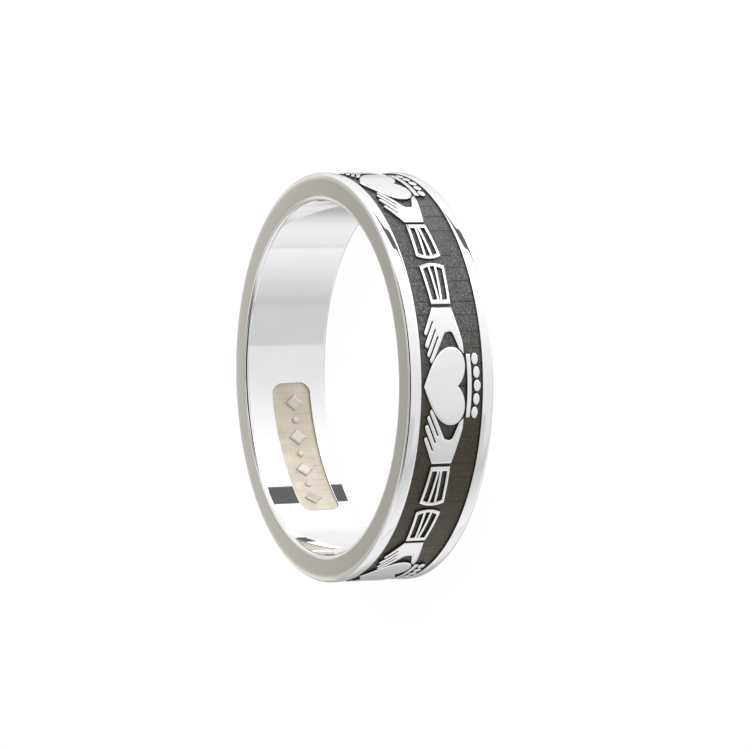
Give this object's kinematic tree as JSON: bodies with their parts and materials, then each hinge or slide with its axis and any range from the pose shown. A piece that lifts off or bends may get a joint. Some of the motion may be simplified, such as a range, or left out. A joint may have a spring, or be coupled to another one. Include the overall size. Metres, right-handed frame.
{
  "type": "claddagh ring",
  "caption": "Round silver finger ring with polished rims and a blackened channel of raised claddaghs: crowned hearts held by cuffed hands.",
  "frame": {"origin": "on the bore's axis, at the flat face that the ring lies on", "axes": "+Z along the bore's axis, from the face beside the crowns, which it lies on, to the face beside the hearts' tips; the first heart faces -Y"},
  "size_m": [0.0222, 0.0222, 0.005],
  "materials": {
    "silver": "polished sterling silver, with a blackened matt channel floor and a matt plate in the bore"
  },
  "bodies": {
    "root": {"band": "silver"}
  },
  "joints": []
}
